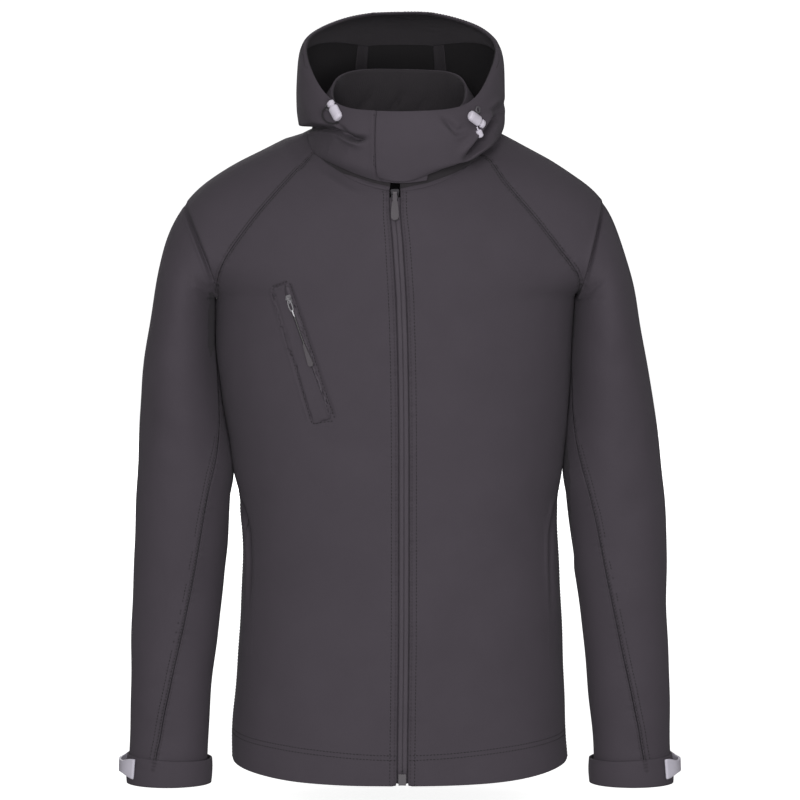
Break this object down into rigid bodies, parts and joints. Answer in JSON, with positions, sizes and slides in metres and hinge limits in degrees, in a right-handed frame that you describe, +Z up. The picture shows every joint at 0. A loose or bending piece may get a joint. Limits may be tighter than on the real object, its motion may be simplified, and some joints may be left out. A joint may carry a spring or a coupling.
{
  "type": "hooded softshell jacket",
  "caption": "Hooded softshell jacket with full front zip, slanted chest pocket, raglan sleeves, side pockets and tabbed cuffs, held in its worn shape.",
  "frame": {"origin": "centre of the neck opening, level with the base of the neck", "axes": "+Z up, +X towards the wearer's left side, -Y out of the front"},
  "size_m": [0.6304, 0.3332, 0.859],
  "materials": {
    "softshell": "matt woven softshell cloth, dark plum grey",
    "fleece": "matt brushed lining, near black",
    "tape_cloth": "smooth dark seam and zip tape",
    "rubber_grey": "moulded light grey cuff tab",
    "lock_plastic": "light lilac grey moulded plastic",
    "cord_black": "round elastic cord",
    "pull_rubber": "soft dark grey zip pull",
    "dark_metal": "dark lacquered metal"
  },
  "bodies": {
    "jacket": {"back": "softshell", "front_right": "softshell", "front_left": "softshell", "sleeve_upper_right": "softshell", "sleeve_upper_left": "softshell", "sleeve_under_right": "softshell", "sleeve_under_left": "softshell", "cuff_right": "softshell", "cuff_left": "softshell", "cuff_tab_right": "rubber_grey", "cuff_tab_left": "rubber_grey", "collar": "softshell", "collar_lining": "fleece", "hood_right": "softshell", "hood_left": "softshell", "hood_centre": "softshell", "hood_facing": "fleece", "hood_tape_right": "tape_cloth", "hood_tape_left": "tape_cloth", "cord_lock_right": "lock_plastic", "eyelet_right": "dark_metal", "cord_lock_left": "lock_plastic", "eyelet_left": "dark_metal", "hood_cord_right": "cord_black", "cord_end_left": "lock_plastic", "chest_welt": "softshell", "chest_zip": "tape_cloth", "pocket_welt_right": "softshell", "pocket_welt_left": "softshell", "chest_slider": "dark_metal", "zip_tape_right": "tape_cloth", "zip_tape_left": "tape_cloth", "zip_slider": "dark_metal", "zip_stop": "lock_plastic"},
    "plunger_right": {"cord_plunger_right": "lock_plastic"},
    "plunger_left": {"cord_plunger_left": "lock_plastic"},
    "zip_pull": {"zip_pull": "pull_rubber"},
    "chest_pull": {"chest_pull": "pull_rubber"}
  },
  "joints": [
    {"name": "cord_plunger_right_press", "type": "slide", "parent": "jacket", "child": "plunger_right", "axis": [0.4127, -0.5015, -0.7603], "range_m": [0, 0.003], "stiffness_N_per_m": 300, "springref_m": -0.001},
    {"name": "cord_plunger_left_press", "type": "slide", "parent": "jacket", "child": "plunger_left", "axis": [-0.6456, -0.5884, 0.4868], "range_m": [0, 0.003], "stiffness_N_per_m": 300, "springref_m": -0.001},
    {"name": "zip_pull_swing", "type": "hinge", "parent": "jacket", "child": "zip_pull", "pos_m": [-0.00561, -0.11016, -0.04478], "axis": [-1, 0, 0], "range_deg": [0, 95]},
    {"name": "chest_pull_swing", "type": "hinge", "parent": "jacket", "child": "chest_pull", "pos_m": [-0.12156, -0.12189, -0.15942], "axis": [-0.8748, 0.3309, -0.3539], "range_deg": [0, 120]}
  ]
}
